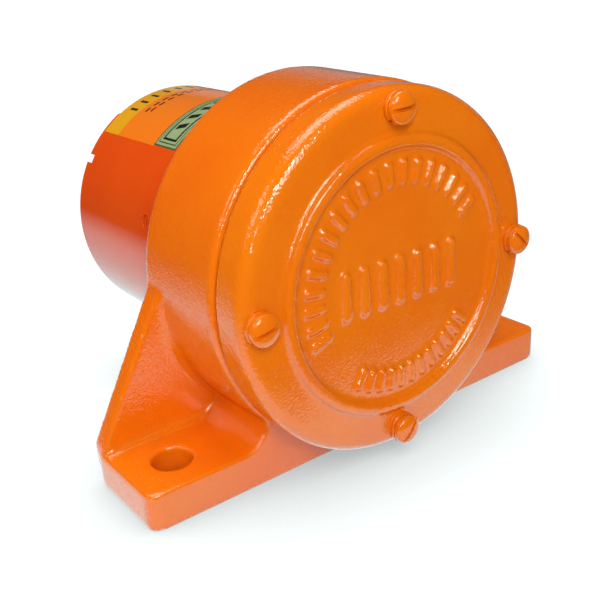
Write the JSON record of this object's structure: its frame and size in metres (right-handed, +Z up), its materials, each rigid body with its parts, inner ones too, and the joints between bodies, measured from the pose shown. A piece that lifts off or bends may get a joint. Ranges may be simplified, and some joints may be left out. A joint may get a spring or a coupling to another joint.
{
  "type": "vibration motor",
  "caption": "Foot-mounted vibration motor: round-faced cast housing with an eccentric weight inside, driven by a brushed motor in a short round can behind it.",
  "frame": {"origin": "middle of the foot bolt holes on the underside of the foot", "axes": "+X along the foot, from one bolt hole to the other; +Y along the shaft from the round cover to the motor can; +Z up"},
  "size_m": [0.18, 0.1431, 0.1265],
  "materials": {
    "enamel": "gloss orange enamel sprayed over castings, can and screws together",
    "dark_steel": "blackened spring and screw steel",
    "zinc_steel": "zinc-plated steel",
    "ground_steel": "ground bearing and shaft steel",
    "dark_iron": "bare cast iron",
    "bearing_brass": "machined brass",
    "bronze": "oil-filled bronze",
    "lamination": "varnished electrical sheet",
    "winding": "varnished copper wire",
    "copper": "turned copper",
    "fibre": "phenolic fibre board",
    "carbon": "pressed carbon",
    "black_rubber": "matt black rubber",
    "gasket_fibre": "dark jointing sheet",
    "grey_casting": "as-cast aluminium"
  },
  "bodies": {
    "stator": {"housing": "enamel", "front_cover": "enamel", "cover_gasket": "gasket_fibre", "cover_screws": "enamel", "lock_washers": "enamel", "main_bearing_outer_ring": "ground_steel", "bearing_circlip": "dark_steel", "front_bearing_outer_ring": "ground_steel", "motor_can": "enamel", "field_core": "lamination", "field_coil_left": "winding", "field_coil_right": "winding", "pole_screws": "dark_steel", "brush_plate": "fibre", "plate_screws": "zinc_steel", "brush_holder_top": "bearing_brass", "brush_holder_bottom": "bearing_brass", "brush_spring_top": "zinc_steel", "brush_spring_bottom": "zinc_steel", "end_cap": "grey_casting", "through_bolts": "zinc_steel", "tail_bush": "bronze", "cord_inlet": "black_rubber"},
    "rotor": {"rotor_shaft": "ground_steel", "eccentric_weight": "dark_iron", "weight_key": "ground_steel", "weight_set_screw": "dark_steel", "bearing_spacer": "ground_steel", "main_bearing_inner_ring": "ground_steel", "front_bearing_inner_ring": "ground_steel", "armature_core": "lamination", "armature_winding": "winding", "commutator_bars": "copper", "commutator_hub": "fibre", "thrust_washer": "fibre"},
    "main_cage": {"main_bearing_rollers": "ground_steel", "main_bearing_cage": "bearing_brass"},
    "front_cage": {"front_bearing_rollers": "ground_steel", "front_bearing_cage": "bearing_brass"},
    "brush_top": {"carbon_brush_top": "carbon"},
    "brush_bottom": {"carbon_brush_bottom": "carbon"}
  },
  "joints": [
    {"name": "rotor_spin", "type": "hinge", "parent": "stator", "child": "rotor", "pos_m": [0, 0, 0.064], "axis": [0, 1, 0], "continuous": true},
    {"name": "main_cage_spin", "type": "hinge", "parent": "stator", "child": "main_cage", "pos_m": [0, 0, 0.064], "axis": [0, 1, 0], "continuous": true},
    {"name": "front_cage_spin", "type": "hinge", "parent": "stator", "child": "front_cage", "pos_m": [0, 0, 0.064], "axis": [0, 1, 0], "continuous": true},
    {"name": "brush_top_slide", "type": "slide", "parent": "stator", "child": "brush_top", "axis": [0, 0, 1], "range_m": [0, 0.003], "stiffness_N_per_m": 200, "springref_m": -0.02, "deforming": ["brush_spring_top"]},
    {"name": "brush_bottom_slide", "type": "slide", "parent": "stator", "child": "brush_bottom", "axis": [0, 0, -1], "range_m": [0, 0.003], "stiffness_N_per_m": 200, "springref_m": -0.02, "deforming": ["brush_spring_bottom"]}
  ],
  "couplings": [
    {"joint": "main_cage_spin", "follows": "rotor_spin", "ratio": 0.3947},
    {"joint": "front_cage_spin", "follows": "rotor_spin", "ratio": 0.4}
  ]
}
